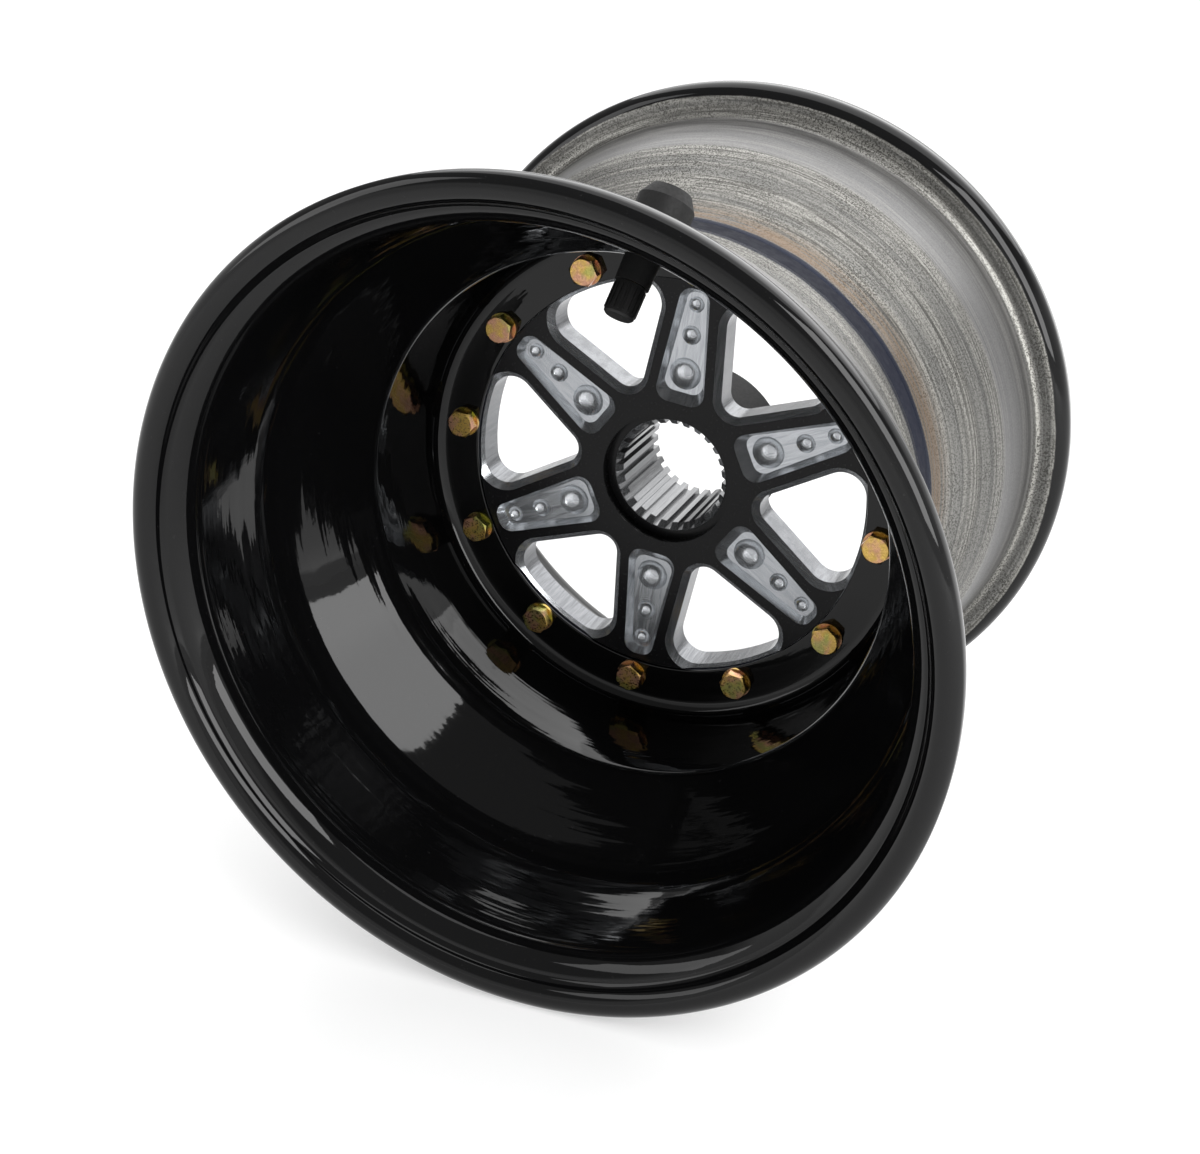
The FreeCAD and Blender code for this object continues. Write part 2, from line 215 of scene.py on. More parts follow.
def densified(points, paint, longest):
    """Splits the outline's runs into equal steps that are no longer than a given length.

    Run k goes from a_k to the next point b_k in n_k = ceil(|b_k - a_k| / longest) steps, and its
    step j is at a_k + (b_k - a_k) j / n_k.
    """
    ahead = np.roll(points, -1, axis=0) - points
    steps = np.maximum(1, np.ceil(np.linalg.norm(ahead, axis=1) / longest)).astype(int)
    run = np.repeat(np.arange(len(points)), steps)
    j = np.arange(len(run)) - np.repeat(np.cumsum(steps) - steps, steps)
    return points[run] + ahead[run] * (j / steps[run])[:, None], paint[run]


print("outline points:", len(rim_outline(-JOINT_Y, OUTER_RIDGE_U, OUTER_SEAT)[0]))

# %% [markdown]
# ## Turning the shells
# A spun shell is a body of revolution. A Screw modifier could turn the outline too, but working out
# the grid keeps the mark on every point, and the seam is closed by counting round, not by merging.

# %% The lathe
STEPS_AROUND = 288
LONGEST_RUN = 4.0 * MM


def lathe(name, outline, paint, side):
    """Turns an outline about +Y: P(a, k) = (r_k cos a, side u_k, r_k sin a)."""
    angle = np.linspace(0, 2 * math.pi, STEPS_AROUND, endpoint=False)
    r, u = outline[:, 0], outline[:, 1]
    n = len(r)
    grid = np.stack([
        np.cos(angle)[:, None] * r,
        np.broadcast_to(side * u, (STEPS_AROUND, n)),
        np.sin(angle)[:, None] * r,
    ], 2)
    a, k = np.meshgrid(np.arange(STEPS_AROUND), np.arange(n), indexing="ij")
    a1, k1 = (a + 1) % STEPS_AROUND, (k + 1) % n
    quads = np.stack([a * n + k, a1 * n + k, a1 * n + k1, a * n + k1], 2).reshape(-1, 4)
    if side > 0:
        quads = quads[:, ::-1]
    mesh = bpy.data.meshes.new(name)
    mesh.from_pydata(grid.reshape(-1, 3).tolist(), [], quads.tolist())
    mesh.shade_smooth()
    layer = mesh.attributes.new("paint", "FLOAT", "POINT")
    layer.data.foreach_set("value", np.tile(paint, STEPS_AROUND).astype(np.float32))
    piece = bpy.data.objects.new(name, mesh)
    bpy.context.scene.collection.objects.link(piece)
    print(name, len(quads) * 2, "triangles")
    return piece


# %% Both shells, in place of their solids
halves = {}
for node, ridge_u, seat, side in (
    ("outer_rim_half", OUTER_RIDGE_U, OUTER_SEAT, -1),
    ("inner_rim_half", INNER_RIDGE_U, INNER_SEAT, 1),
):
    points, paint = densified(*rim_outline(side * JOINT_Y, ridge_u, seat), LONGEST_RUN)
    piece = lathe("turned_" + node, points, paint, side)
    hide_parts(node)
    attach(piece, "wheel")
    halves[node] = piece

# %% [markdown]
# ## Node helpers
# A finish is a net of small nodes. Setting each one up by hand takes several lines, so these helpers
# make a node, feed it numbers or other nodes' outputs, and hand back its result.

# %% Helpers for nodes
def feed(tree, socket, value):
    """Links a socket to another node's output, or sets it where the value is a number or colour."""
    if isinstance(value, bpy.types.NodeSocket):
        tree.links.new(value, socket)
    else:
        socket.default_value = value


def math_node(tree, operation, a, b=None, clamp=False):
    """One Math node, such as a + b."""
    node = tree.nodes.new("ShaderNodeMath")
    node.operation = operation
    node.use_clamp = clamp
    feed(tree, node.inputs[0], a)
    if b is not None:
        feed(tree, node.inputs[1], b)
    return node.outputs[0]


def times(tree, a, b):
    """The product of two values, which joins two masks."""
    return math_node(tree, "MULTIPLY", a, b)


# %% Helpers for masks, noise and colour
def ramp(tree, value, low, high, to_low=0.0, to_high=1.0):
    """A smooth step: to_low where the value is under low, to_high where it is over high."""
    node = tree.nodes.new("ShaderNodeMapRange")
    node.interpolation_type = "SMOOTHSTEP"
    for label, number in (
        ("Value", value), ("From Min", low), ("From Max", high), ("To Min", to_low), ("To Max", to_high),
    ):
        feed(tree, node.inputs[label], number)
    return node.outputs["Result"]


def band(tree, value, edges):
    """A mask that rises between the first two edges and falls between the last two."""
    rise = ramp(tree, value, edges[0], edges[1])
    fall = ramp(tree, value, edges[2], edges[3], 1.0, 0.0)
    return times(tree, rise, fall)


def noise(tree, vector, scale, detail=3.0, roughness=0.5):
    """Noise with about one blotch per 1/scale metres."""
    node = tree.nodes.new("ShaderNodeTexNoise")
    for label, value in (("Vector", vector), ("Scale", scale), ("Detail", detail), ("Roughness", roughness)):
        feed(tree, node.inputs[label], value)
    return node.outputs["Fac"]


def mix_colour(tree, factor, a, b):
    """Colour a where the factor is 0, and b where it is 1."""
    node = tree.nodes.new("ShaderNodeMix")
    node.data_type = "RGBA"
    for socket, value in ((node.inputs[0], factor), (node.inputs[6], a), (node.inputs[7], b)):
        feed(tree, socket, value)
    return node.outputs[2]


def tint(red, green, blue):
    """A colour with full alpha."""
    return (red, green, blue, 1)


# %% Helpers for groups and materials
def new_group(name, inputs, outputs):
    """Makes a shader node group. Each socket is given as its name and type."""
    tree = bpy.data.node_groups.new(name, "ShaderNodeTree")
    for way, sockets in (("INPUT", inputs), ("OUTPUT", outputs)):
        for label, kind in sockets:
            tree.interface.new_socket(name=label, in_out=way, socket_type="NodeSocket" + kind)
    return tree, tree.nodes.new("NodeGroupInput"), tree.nodes.new("NodeGroupOutput")


def use(tree, group):
    """Places a group in a tree."""
    node = tree.nodes.new("ShaderNodeGroup")
    node.node_tree = group
    return node


def new_material(name):
    """A material, its tree and the shader that it starts with."""
    material = bpy.data.materials.new(name)
    material.use_nodes = True
    tree = material.node_tree
    return material, tree, tree.nodes["Principled BSDF"]


def add_bump(tree, shader, height, distance, strength):
    """Tilts a shader's normals by a height."""
    bump = tree.nodes.new("ShaderNodeBump")
    bump.inputs["Distance"].default_value = distance
    bump.inputs["Strength"].default_value = strength
    tree.links.new(height, bump.inputs["Height"])
    tree.links.new(bump.outputs[0], shader.inputs["Normal"])


def two_finishes(tree, share, below, above):
    """Shows one shader where the share is 0 and another where it is 1, as paint over metal."""
    blend = tree.nodes.new("ShaderNodeMixShader")
    tree.links.new(share, blend.inputs[0])
    tree.links.new(below.outputs[0], blend.inputs[1])
    tree.links.new(above.outputs[0], blend.inputs[2])
    tree.links.new(blend.outputs[0], tree.nodes["Material Output"].inputs["Surface"])


# %% [markdown]
# ## Where a point is on the wheel
# Nearly every mark on a wheel follows its axis: lathe lines go round it, and bands lie along it. One
# group turns the position into radius, distance along the axis and angle. "Turned" hardly changes
# round the wheel, so noise on it is drawn out into lathe lines. It follows the angle's cosine, which
# has no jump, where the angle itself jumps at half a turn and would leave a seam.

# %% The wheel space group
LINE_DRIFT = 0.0035


def wheel_space():
    """Splits the position p: r = sqrt(x^2 + z^2), along = y, angle = atan2(z, x)."""
    tree, _, out = new_group("Wheel space", [], [
        ("Position", "Vector"), ("Radius", "Float"), ("Along", "Float"), ("Angle", "Float"),
        ("Turned", "Vector"),
    ])
    spot = tree.nodes.new("ShaderNodeTexCoord").outputs["Object"]
    split = tree.nodes.new("ShaderNodeSeparateXYZ")
    tree.links.new(spot, split.inputs[0])
    x, y, z = split.outputs
    radius = math_node(tree, "SQRT", math_node(tree, "ADD", times(tree, x, x), times(tree, z, z)))
    angle = math_node(tree, "ARCTAN2", z, x)
    turned = tree.nodes.new("ShaderNodeCombineXYZ")
    drift = times(tree, math_node(tree, "COSINE", angle), LINE_DRIFT)
    for socket, value in zip(turned.inputs, (radius, y, drift)):
        tree.links.new(value, socket)
    for socket, value in zip(out.inputs, (spot, radius, y, angle, turned.outputs[0])):
        tree.links.new(value, socket)
    return tree


SPACE = wheel_space()
print("group:", SPACE.name, [item.name for item in SPACE.interface.items_tree])

# %% [markdown]
# ## Bare spun metal
# Where the tyre sits, the real shell is bare. The roller left fine lines, the sheet is speckled with
# dark pits, the seat is smoother, and sealant and stain lie beside the joint. All of this is drawn by
# noise and bands, because an image could not follow the shell round without a stretch.

# %% The spun metal group
FINISH_OUTPUTS = [("Colour", "Color"), ("Roughness", "Float"), ("Height", "Float")]
LATHE_LINES = 1000.0
LATHE_BANDS = 130.0
PIT_GRAIN = 1500.0
CLOUD_GRAIN = 26.0
SEAT_BAND = (120.5 * MM, 121.3 * MM, 126.8 * MM, 128.0 * MM)
STAIN_BAND = (28.0 * MM, 29.5 * MM, 33.0 * MM, 43.0 * MM)
SPRAY_BAND = (11.2 * MM, 12.0 * MM, 28.0 * MM, 29.0 * MM)
RAGGED_REACH = 4.0 * MM
LINE_DARK = tint(0.105, 0.102, 0.095)
LINE_LIGHT = tint(0.345, 0.338, 0.315)
BROAD_GREY = tint(0.145, 0.145, 0.142)
SEAT_GREY = tint(0.17, 0.17, 0.178)
PIT_BLACK = tint(0.045, 0.043, 0.038)
STAIN_BROWN = tint(0.17, 0.105, 0.055)
SPRAY_NAVY = tint(0.010, 0.013, 0.026)


def spun_metal():
    """Mixes line, seat, pit, stain and overspray tones, each by its own mask."""
    tree, _, out = new_group("Spun metal", [], FINISH_OUTPUTS)
    space = use(tree, SPACE).outputs
    lines = noise(tree, space["Turned"], LATHE_LINES, 5.0, 0.7)
    broad = noise(tree, space["Turned"], LATHE_BANDS, 3.0, 0.6)
    grains = noise(tree, space["Position"], PIT_GRAIN, 2.0, 0.65)
    clouds = noise(tree, space["Position"], CLOUD_GRAIN, 3.0, 0.6)
    seat = band(tree, space["Radius"], SEAT_BAND)
    rough_part = math_node(tree, "SUBTRACT", 1.0, times(tree, seat, 0.75))
    pits = times(tree, ramp(tree, grains, 0.46, 0.60), rough_part)
    pits = times(tree, pits, ramp(tree, clouds, 0.30, 0.62, 0.55, 1.0))
    tone = mix_colour(tree, ramp(tree, lines, 0.36, 0.64), LINE_DARK, LINE_LIGHT)
    tone = mix_colour(tree, ramp(tree, broad, 0.44, 0.60, 0.0, 0.55), tone, BROAD_GREY)
    tone = mix_colour(tree, times(tree, seat, 0.5), tone, SEAT_GREY)
    tone = mix_colour(tree, times(tree, pits, 0.85), tone, PIT_BLACK)
    ragged = times(tree, math_node(tree, "SUBTRACT", clouds, 0.5), RAGGED_REACH)
    along = math_node(tree, "ADD", space["Along"], ragged)
    stain = times(tree, band(tree, along, STAIN_BAND), ramp(tree, lines, 0.40, 0.56))
    tone = mix_colour(tree, times(tree, stain, 0.75), tone, STAIN_BROWN)
    tone = mix_colour(tree, band(tree, along, SPRAY_BAND), tone, SPRAY_NAVY)
    rough = math_node(tree, "ADD", ramp(tree, lines, 0.3, 0.7, 0.34, 0.48), times(tree, pits, 0.2))
    height = math_node(tree, "SUBTRACT", lines, times(tree, pits, 0.5))
    for socket, value in zip(out.inputs, (tone, rough, height)):
        tree.links.new(value, socket)
    return tree


SPUN_METAL = spun_metal()
print("group:", SPUN_METAL.name, len(SPUN_METAL.nodes), "nodes")

# %% [markdown]
# ## Gloss black paint
# The bowl is sprayed gloss black. Paint that smooth would look like plastic, so it gets what real
# paint has: slow waves of the sheet below, faint orange peel, a haze in its gloss and a little dust.

# %% The gloss paint group
PEEL_GRAIN = 300.0
WAVE_LINES = 210.0
DENT_GRAIN = 38.0
DUST_GRAIN = 700.0
HAZE_GRAIN = 14.0
PAINT_BLACK = tint(0.0028, 0.0028, 0.003)
DUST_GREY = tint(0.2, 0.2, 0.2)


def gloss_paint():
    """Height = waves + 1.6 dents + 0.12 peel; haze moves the roughness."""
    tree, _, out = new_group("Gloss paint", [], FINISH_OUTPUTS)
    space = use(tree, SPACE).outputs
    peel = noise(tree, space["Position"], PEEL_GRAIN, 2.0, 0.4)
    waves = noise(tree, space["Turned"], WAVE_LINES, 2.0, 0.45)
    dents = noise(tree, space["Position"], DENT_GRAIN, 2.0, 0.5)
    dust = ramp(tree, noise(tree, space["Position"], DUST_GRAIN, 2.0, 0.7), 0.68, 0.76, 0.0, 0.05)
    haze = noise(tree, space["Position"], HAZE_GRAIN, 3.0, 0.5)
    tone = mix_colour(tree, dust, PAINT_BLACK, DUST_GREY)
    slow = math_node(tree, "ADD", waves, times(tree, dents, 1.6))
    height = math_node(tree, "ADD", slow, times(tree, peel, 0.12))
    for socket, value in zip(out.inputs, (tone, ramp(tree, haze, 0.3, 0.7, 0.03, 0.07), height)):
        tree.links.new(value, socket)
    return tree


GLOSS_PAINT = gloss_paint()
print("group:", GLOSS_PAINT.name, len(GLOSS_PAINT.nodes), "nodes")

# %% [markdown]
# ## Paint over metal
# One finish serves both sides of a shell. The outline's mark says where the paint is, and the radius
# carries the paint over the lip, where it ends in a ragged edge as the masking did.

# %% The shells' finish
PAINT_EDGE = (135.8 * MM, 136.4 * MM)
PAINT_EDGE_REACH = 1.8 * MM
PAINT_EDGE_GRAIN = 45.0
PAINT_GLOSS = 0.26
PAINT_RELIEF = 0.12 * MM
SPUN_METALLIC = 0.85
SPUN_RELIEF = 0.06 * MM


def rim_finish():
    """Covers spun metal with gloss paint where the mark or the radius says so."""
    material, tree, paint = new_material("rim_finish")
    space = use(tree, SPACE).outputs
    side = tree.nodes.new("ShaderNodeAttribute")
    side.attribute_name = "paint"
    wander = math_node(tree, "SUBTRACT", noise(tree, space["Position"], PAINT_EDGE_GRAIN, 4.0, 0.65), 0.5)
    edge_r = math_node(tree, "ADD", space["Radius"], times(tree, wander, PAINT_EDGE_REACH))
    inside = ramp(tree, side.outputs["Fac"], 0.5, 0.9)
    covered = math_node(tree, "MAXIMUM", inside, ramp(tree, edge_r, *PAINT_EDGE), clamp=True)
    gloss = use(tree, GLOSS_PAINT).outputs
    tree.links.new(gloss["Colour"], paint.inputs["Base Color"])
    tree.links.new(gloss["Roughness"], paint.inputs["Roughness"])
    paint.inputs["Specular IOR Level"].default_value = PAINT_GLOSS
    add_bump(tree, paint, gloss["Height"], PAINT_RELIEF, 1.0)
    metal = tree.nodes.new("ShaderNodeBsdfPrincipled")
    spun = use(tree, SPUN_METAL).outputs
    tree.links.new(spun["Colour"], metal.inputs["Base Color"])
    tree.links.new(spun["Roughness"], metal.inputs["Roughness"])
    metal.inputs["Metallic"].default_value = SPUN_METALLIC
    add_bump(tree, metal, spun["Height"], SPUN_RELIEF, 0.6)
    two_finishes(tree, covered, metal, paint)
    return material


RIM = rim_finish()
for piece in halves.values():
    piece.data.materials.append(RIM)
print("painted:", list(halves))

# %% [markdown]
# ## Where a point is on a spoke
# The cutter ran along each spoke and turned a ball in each dimple. A pattern for one spoke, folded
# round the wheel, gives all six the same marks, where six copies of the nodes would be hard to keep
# alike.

# %% The spoke space group
SPOKE_PHASE = math.radians(20.44)
SPOKE_PITCH = math.radians(60)
DIMPLES_R = (43.0 * MM, 58.5 * MM, 70.6 * MM)
STROKE_SQUEEZE = 0.06


def spoke_space():
    """Folds all spokes onto one: x runs out along the spoke and y across it.

    The angle from the nearest spoke is b, so x = r cos b and y = r sin b. "Brushed" squeezes x, which
    draws noise out into lines along the spoke. "Ring" is the distance to the nearest dimple's middle.
    """
    tree, _, out = new_group("Spoke space", [], [("Brushed", "Vector"), ("Ring", "Float")])
    space = use(tree, SPACE).outputs
    start = math_node(tree, "ADD", space["Angle"], SPOKE_PITCH / 2 - SPOKE_PHASE)
    folded = math_node(tree, "FLOORED_MODULO", start, SPOKE_PITCH)
    b = math_node(tree, "SUBTRACT", folded, SPOKE_PITCH / 2)
    x = times(tree, space["Radius"], math_node(tree, "COSINE", b))
    y = times(tree, space["Radius"], math_node(tree, "SINE", b))
    across = times(tree, y, y)
    rings = []
    for dimple_r in DIMPLES_R:
        off = math_node(tree, "SUBTRACT", x, dimple_r)
        rings.append(math_node(tree, "SQRT", math_node(tree, "ADD", times(tree, off, off), across)))
    nearest = math_node(tree, "MINIMUM", math_node(tree, "MINIMUM", rings[0], rings[1]), rings[2])
    brushed = tree.nodes.new("ShaderNodeCombineXYZ")
    out_along = times(tree, x, STROKE_SQUEEZE)
    deep = times(tree, space["Along"], STROKE_SQUEEZE)
    for socket, value in zip(brushed.inputs, (out_along, y, deep)):
        tree.links.new(value, socket)
    tree.links.new(brushed.outputs[0], out.inputs["Brushed"])
    tree.links.new(nearest, out.inputs["Ring"])
    return tree


SPOKE_SPACE = spoke_space()
print("group:", SPOKE_SPACE.name, len(SPOKE_SPACE.nodes), "nodes")

# %% [markdown]
# ## The machined centre
# The centre looks as if it was anodised black and then cut, because the pockets, windows and spline
# are bare. So the black is a mask: the front face, the counterbore, and all of the hub behind the
# plate. Bare metal mostly mirrors what is round it. Deep window walls carry a painted shade and bevels
# a painted highlight against the pocket floors, chosen by the way each face is turned, so that the cuts
# read in any light. The spline bore gets a painted shade as well.

# %% Masks of the black
FACE_Y = 19.5 * MM
PLATE_BACK_Y = FACE_Y + 13.5 * MM
COUNTERBORE_R = 25.9 * MM
COUNTERBORE_Y = FACE_Y + 4.9 * MM
SPLINE_R = 22.7 * MM
MASK_MARGIN = 0.03 * MM


def hub_mask(tree, along, radius):
    """1 behind the plate and outside the spline."""
    behind = math_node(tree, "GREATER_THAN", along, PLATE_BACK_Y - 0.05 * MM)
    return times(tree, behind, math_node(tree, "GREATER_THAN", radius, SPLINE_R + 0.4 * MM))


def black_mask(tree, along, radius, hub):
    """1 on the front face, in the counterbore and on the hub."""
    face = math_node(tree, "LESS_THAN", along, FACE_Y + MASK_MARGIN)
    in_recess = math_node(tree, "LESS_THAN", radius, COUNTERBORE_R + 0.2 * MM)
    recess = times(tree, in_recess, math_node(tree, "LESS_THAN", along, COUNTERBORE_Y + 0.1 * MM))
    return math_node(tree, "MAXIMUM", face, math_node(tree, "MAXIMUM", recess, hub))


# %% Bare cut metal
DIMPLE_REACH = 6.3 * MM
RING_TURN = 7500.0
STROKE_LINES = 1400.0
CUT_METALLIC = 0.75
CUT_RELIEF = 0.02 * MM
# Wall tones are a painted shade and bevel tones a painted highlight on the same cut metal.
FLOOR_TONES = (tint(0.33, 0.345, 0.365), tint(0.47, 0.485, 0.505))
LIT_BEVEL_TONES = (tint(0.54, 0.56, 0.585), tint(0.70, 0.72, 0.745))
SHADED_WALL_TONES = (tint(0.13, 0.134, 0.142), tint(0.22, 0.225, 0.235))
BORE_SHADE_GREY = tint(0.16, 0.16, 0.16)


def cut_metal(tree, radius):
    """A shader with strokes along the spokes, rings sin(RING_TURN d) in the dimples, painted shade on walls
    and a painted highlight on bevels by facing, and painted shade in the spline bore.
    """
    bare = tree.nodes.new("ShaderNodeBsdfPrincipled")
    spoke = use(tree, SPOKE_SPACE).outputs
    strokes = noise(tree, spoke["Brushed"], STROKE_LINES, 3.0, 0.6)
    turning = math_node(tree, "SINE", times(tree, spoke["Ring"], RING_TURN))
    rings = times(tree, turning, math_node(tree, "LESS_THAN", spoke["Ring"], DIMPLE_REACH))
    split = tree.nodes.new("ShaderNodeSeparateXYZ")
    normal = tree.nodes.new("ShaderNodeNewGeometry").outputs["True Normal"]
    tree.links.new(normal, split.inputs[0])
    facing = math_node(tree, "MULTIPLY", split.outputs["Y"], -1.0, clamp=True)
    milled = ramp(tree, strokes, 0.3, 0.7)
    floors = mix_colour(tree, milled, *FLOOR_TONES)
    lit_bevels = mix_colour(tree, milled, *LIT_BEVEL_TONES)
    shaded_walls = mix_colour(tree, milled, *SHADED_WALL_TONES)
    # Painted shade on faces square to the axis and a painted highlight on slanted bevels, picked by which
    # way a face is turned.
    tone = mix_colour(tree, ramp(tree, facing, 0.10, 0.35), shaded_walls, lit_bevels)
    tone = mix_colour(tree, ramp(tree, facing, 0.93, 0.99), tone, floors)
    # Painted shade: the spline bore is darkened towards a grey.
    in_bore = math_node(tree, "LESS_THAN", radius, SPLINE_R + 0.3 * MM)
    tone = mix_colour(tree, times(tree, in_bore, 0.45), tone, BORE_SHADE_GREY)
    tree.links.new(tone, bare.inputs["Base Color"])
    tree.links.new(ramp(tree, strokes, 0.3, 0.7, 0.17, 0.27), bare.inputs["Roughness"])
    bare.inputs["Metallic"].default_value = CUT_METALLIC
    add_bump(tree, bare, math_node(tree, "ADD", strokes, times(tree, rings, 0.6)), CUT_RELIEF, 0.35)
    return bare


# %% The centre's finish
SATIN_GRAIN = 900.0
SATIN_CLOUD = 40.0
SATIN_BLACKS = (tint(0.006, 0.006, 0.0065), tint(0.011, 0.011, 0.012))
SATIN_GLOSS = 0.15
SATIN_RELIEF = 0.01 * MM
HUB_ROUGHER = 0.35


def centre_finish():
    """Satin black anodising, rougher on the hub, over bare cut metal."""
    material, tree, black = new_material("centre_finish")
    space = use(tree, SPACE).outputs
    hub = hub_mask(tree, space["Along"], space["Radius"])
    covered = black_mask(tree, space["Along"], space["Radius"], hub)
    fine = noise(tree, space["Position"], SATIN_GRAIN, 3.0, 0.6)
    cloud = noise(tree, space["Position"], SATIN_CLOUD, 2.0, 0.5)
    tone = mix_colour(tree, cloud, *SATIN_BLACKS)
    satin = ramp(tree, fine, 0.3, 0.7, 0.20, 0.28)
    tree.links.new(tone, black.inputs["Base Color"])
    tree.links.new(math_node(tree, "ADD", satin, times(tree, hub, HUB_ROUGHER)), black.inputs["Roughness"])
    black.inputs["Specular IOR Level"].default_value = SATIN_GLOSS
    add_bump(tree, black, fine, SATIN_RELIEF, 0.2)
    two_finishes(tree, covered, cut_metal(tree, space["Radius"]), black)
    return material


CENTRE = centre_finish()
print("centre:", len(CENTRE.node_tree.nodes), "nodes")

# %% [markdown]
# ## Yellow zinc
# The bolts and washers are zinc plated and dipped in chromate, whose film is so thin that its colour
# drifts from straw to pink and green. Two slow noises move between those three tones.

# %% The zinc finish
ZINC_STRAW = tint(0.54, 0.36, 0.10)
ZINC_PINK = tint(0.52, 0.28, 0.18)
ZINC_GREEN = tint(0.30, 0.36, 0.10)
PINK_DRIFT = 150.0
GREEN_DRIFT = 95.0
ZINC_GRAIN = 1300.0
GRAIN_RELIEF = 0.04 * MM


def zinc_finish():
    """Straw to pink by one noise, then towards green by another."""
    material, tree, shader = new_material("yellow_zinc")
    position = use(tree, SPACE).outputs["Position"]
    drift = ramp(tree, noise(tree, position, PINK_DRIFT, 2.0, 0.5), 0.42, 0.60)
    other = ramp(tree, noise(tree, position, GREEN_DRIFT, 2.0, 0.6), 0.50, 0.64, 0.0, 0.7)
    fine = noise(tree, position, ZINC_GRAIN, 3.0, 0.6)
    tone = mix_colour(tree, other, mix_colour(tree, drift, ZINC_STRAW, ZINC_PINK), ZINC_GREEN)
    tree.links.new(tone, shader.inputs["Base Color"])
    tree.links.new(ramp(tree, fine, 0.3, 0.7, 0.22, 0.42), shader.inputs["Roughness"])
    shader.inputs["Metallic"].default_value = 1.0
    add_bump(tree, shader, fine, GRAIN_RELIEF, 0.5)
    return material


ZINC = zinc_finish()
print("finish:", ZINC.name)

# %% [markdown]
# ## Rubber, plastic, sealant, brass and wire
# These small pieces differ in tone, gloss and grain, but each is a mottle between two tones with a
# fine grain. That is one effect, so it is one group, and each material places it with its own values.

# %% The mottle group
CLOUD_SHARE = 0.08
SMOOTHER = 0.06
ROUGHER = 0.08


def mottle():
    """Colour between two tones by a slow noise; a fine noise moves the roughness and the height."""
    tree, given, out = new_group(
        "Mottle",
        [("Dark", "Color"), ("Light", "Color"), ("Grain", "Float"), ("Rough", "Float")],
        FINISH_OUTPUTS,
    )
    position = use(tree, SPACE).outputs["Position"]
    dark, light, grain, rough = given.outputs[:4]
    fine = noise(tree, position, grain, 3.0, 0.6)
    cloud = noise(tree, position, times(tree, grain, CLOUD_SHARE), 2.0, 0.5)
    smoother = math_node(tree, "SUBTRACT", rough, SMOOTHER)
    rougher = math_node(tree, "ADD", rough, ROUGHER)
    results = (mix_colour(tree, cloud, dark, light), ramp(tree, fine, 0.3, 0.7, smoother, rougher), fine)
    for socket, value in zip(out.inputs, results):
        tree.links.new(value, socket)
    return tree


MOTTLE = mottle()
print("group:", MOTTLE.name, len(MOTTLE.nodes), "nodes")

# %% The materials that use the mottle
def mottled(name, dark, light, rough, grain, metallic=0.0, gloss=0.5):
    """A material with the mottle's own tones, roughness and grain."""
    material, tree, shader = new_material(name)
    marks = use(tree, MOTTLE)
    for label, value in (("Dark", dark), ("Light", light), ("Grain", grain), ("Rough", rough)):
        marks.inputs[label].default_value = value
    tree.links.new(marks.outputs["Colour"], shader.inputs["Base Color"])
    tree.links.new(marks.outputs["Roughness"], shader.inputs["Roughness"])
    shader.inputs["Metallic"].default_value = metallic
    shader.inputs["Specular IOR Level"].default_value = gloss
    add_bump(tree, shader, marks.outputs["Height"], GRAIN_RELIEF, 0.5)
    return material


RUBBER_TONES = (tint(0.006, 0.006, 0.006), tint(0.012, 0.012, 0.012))
PLASTIC_TONES = (tint(0.008, 0.008, 0.008), tint(0.016, 0.016, 0.016))
SEALANT_TONES = (tint(0.004, 0.005, 0.011), tint(0.009, 0.011, 0.022))
BRASS_TONES = (tint(0.60, 0.44, 0.20), tint(0.74, 0.57, 0.30))
WIRE_TONES = (tint(0.45, 0.45, 0.46), tint(0.60, 0.60, 0.62))
RUBBER = mottled("valve_rubber", *RUBBER_TONES, rough=0.60, grain=900.0, gloss=0.25)
PLASTIC = mottled("cap_plastic", *PLASTIC_TONES, rough=0.50, grain=1200.0, gloss=0.25)
SEALANT = mottled("joint_sealant", *SEALANT_TONES, rough=0.55, grain=260.0, gloss=0.1)
BRASS = mottled("turned_brass", *BRASS_TONES, rough=0.28, grain=1500.0, metallic=1.0)
SPRING = mottled("spring_wire", *WIRE_TONES, rough=0.30, grain=1500.0, metallic=1.0)
print("users of the mottle:", MOTTLE.users)

# %% [markdown]
# ## Dressing the solids
# A solid's shape is right, so only its material changes: each of its slots gets the finish.

# %% Give each solid its finish
finish = {
    "wheel_centre": CENTRE,
    "rim_bolts": ZINC,
    "bolt_washers": ZINC,
    "joint_sealant": SEALANT,
    "valve_body": RUBBER,
    "valve_stem": BRASS,
    "valve_core": BRASS,
    "valve_pin": BRASS,
    "valve_pin_seal": RUBBER,
    "valve_spring": SPRING,
    "valve_cap": PLASTIC,
    "valve_cap_seal": RUBBER,
}
for node, material in finish.items():
    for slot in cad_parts[node].material_slots:
        slot.material = material
print("dressed:", len(finish), "solids")

# %% [markdown]
# ## Floor
# The wheel stands on a pale sheet. The floor shows a little of its own white to the camera and in
# gloss, but not in the light that it throws back, so it looks white and still keeps a soft shadow.

# %% A pale floor
FLOOR_Z = -LIP_R
FLOOR_REACH = 14.0
FLOOR_GLOW = 0.44


def seen_ray(tree):
    """1 for a ray that sees the backdrop directly, in gloss or through glass, and 0 for its light."""
    rays = tree.nodes.new("ShaderNodeLightPath").outputs
    seen = math_node(tree, "MAXIMUM", rays["Is Camera Ray"], rays["Is Glossy Ray"])
    return math_node(tree, "MAXIMUM", seen, rays["Is Transmission Ray"])


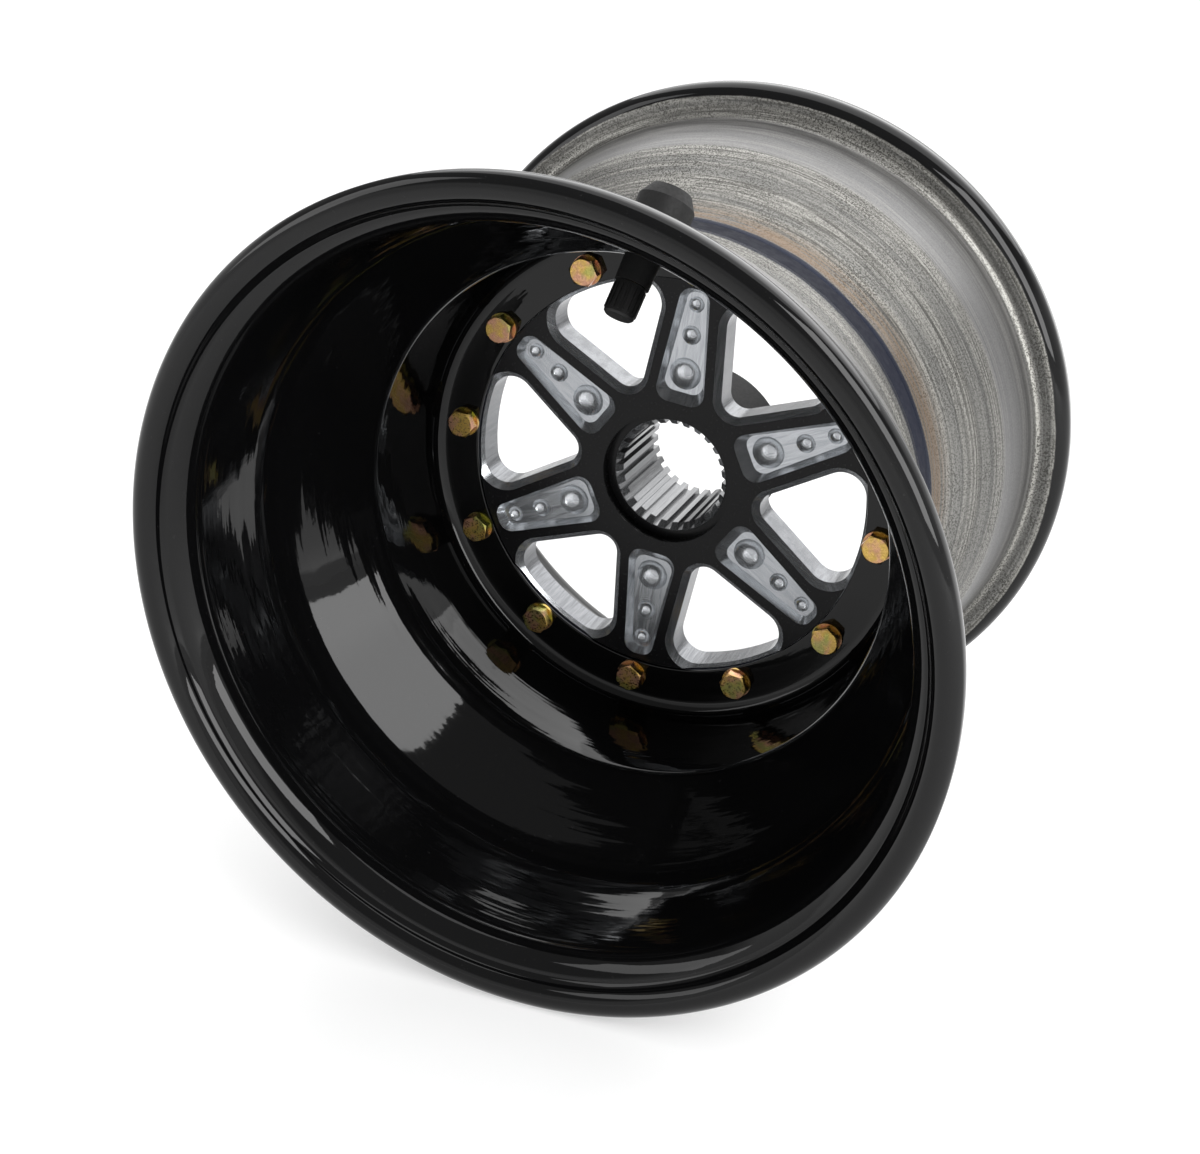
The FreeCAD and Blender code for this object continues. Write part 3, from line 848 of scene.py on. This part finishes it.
def floor():
    """One large square at the height of the lips' lowest point."""
    mesh = bpy.data.meshes.new("floor")
    corners = [(x * FLOOR_REACH, y * FLOOR_REACH, FLOOR_Z) for x, y in ((-1, -1), (1, -1), (1, 1), (-1, 1))]
    mesh.from_pydata(corners, [], [(0, 1, 2, 3)])
    piece = bpy.data.objects.new("floor", mesh)
    bpy.context.scene.collection.objects.link(piece)
    material, tree, shader = new_material("pale_floor")
    shader.inputs["Base Color"].default_value = tint(0.55, 0.55, 0.55)
    shader.inputs["Roughness"].default_value = 0.9
    shader.inputs["Emission Color"].default_value = tint(1, 1, 1)
    tree.links.new(times(tree, seen_ray(tree), FLOOR_GLOW), shader.inputs["Emission Strength"])
    mesh.materials.append(material)


floor()
print("floor at", FLOOR_Z)

# %% [markdown]
# ## Light
# Gloss black shows its lamps more than its colour, so each lamp is placed by its reflection. The
# right panel makes the bright patch in the bowl's cone, the left one lifts the far lip, and a broad
# lamp above and behind lights the bare metal without showing in the bowl.

# %% The panels
def softbox(name, place, target, width, height, watts):
    """A rectangular panel at a place, turned to face its target."""
    light = bpy.data.lights.new(name, "AREA")
    light.shape = "RECTANGLE"
    light.size = width
    light.size_y = height
    light.energy = watts
    lamp = bpy.data.objects.new(name, light)
    lamp.location = place
    lamp.rotation_euler = (Vector(target) - Vector(place)).to_track_quat("-Z", "Y").to_euler()
    bpy.context.scene.collection.objects.link(lamp)
    print(name, watts, "W")


WHEEL_MIDDLE = (0, 0, 0)
BOWL_WALL = (-0.085, -0.046, -0.073)
softbox("right_box", (1.075, -0.626, 0.58), BOWL_WALL, 0.7, 1.17, 19)
softbox("left_box", (-1.3, -0.9, 0.9), WHEEL_MIDDLE, 0.7, 1.2, 7)
softbox("back_box", (0.4, 1.5, 1.0), WHEEL_MIDDLE, 1.4, 0.9, 3)

# %% The broad lamp
BROAD_STRENGTH = 3.3
BROAD_SPREAD = math.radians(90)
BROAD_TILT = (math.radians(-35), math.radians(6), 0)
sun = bpy.data.lights.new("overhead", "SUN")
sun.energy = BROAD_STRENGTH
sun.angle = BROAD_SPREAD
overhead = bpy.data.objects.new("overhead", sun)
overhead.rotation_euler = BROAD_TILT
bpy.context.scene.collection.objects.link(overhead)
print("broad lamp", BROAD_STRENGTH, "W per square metre")

# %% [markdown]
# ## Sky
# A weak even sky fills the shadows. Near the horizon it is seen as white as the floor, so the floor
# runs into it without a line.

# %% The studio's sky
SKY_FILL = 0.36
HORIZON = (0.22, 0.42)


def studio_sky():
    """Strength = fill + (1 - fill) near the horizon, for rays that see the backdrop."""
    world = bpy.data.worlds.new("studio")
    world.use_nodes = True
    tree = world.node_tree
    sky = tree.nodes["Background"]
    sky.inputs["Color"].default_value = tint(1, 1, 1)
    aim = tree.nodes.new("ShaderNodeSeparateXYZ")
    tree.links.new(tree.nodes.new("ShaderNodeTexCoord").outputs["Generated"], aim.inputs[0])
    low = ramp(tree, aim.outputs["Z"], *HORIZON, 1 - SKY_FILL, 0.0)
    sweep = times(tree, low, seen_ray(tree))
    tree.links.new(math_node(tree, "ADD", sweep, SKY_FILL), sky.inputs["Strength"])
    return world


bpy.context.scene.world = studio_sky()
print("sky fill", SKY_FILL)

# %% [markdown]
# ## Camera
# The camera was fitted to the two lips and the bolt circle. Its shift places the wheel in the frame
# as the photo's crop does. Turning the camera instead would tilt the lines.

# %% The camera
AZIMUTH = math.radians(20.1)
ELEVATION = math.radians(17.8)
CAMERA_PLACE = (0.2074, -0.5061, 0.2193)
LENS = 47.29
SHIFT = (-0.0851, -0.1596)
SENSOR_MM = 36.0
NEAREST = 0.01
level = math.cos(ELEVATION)
forward = Vector((-math.sin(AZIMUTH) * level, math.cos(AZIMUTH) * level, -math.sin(ELEVATION)))
right = Vector((math.cos(AZIMUTH), math.sin(AZIMUTH), 0))
up = right.cross(forward)
lens = bpy.data.cameras.new("camera")
lens.sensor_fit = "HORIZONTAL"
lens.sensor_width = SENSOR_MM
lens.lens = LENS
lens.shift_x, lens.shift_y = SHIFT
lens.clip_start = NEAREST
camera = bpy.data.objects.new("camera", lens)
turn = Matrix((right, up, -forward)).transposed().to_4x4()
camera.matrix_world = Matrix.Translation(CAMERA_PLACE) @ turn
bpy.context.scene.collection.objects.link(camera)
bpy.context.scene.camera = camera
bpy.context.scene.view_settings.view_transform = "Standard"
print("camera at", CAMERA_PLACE)
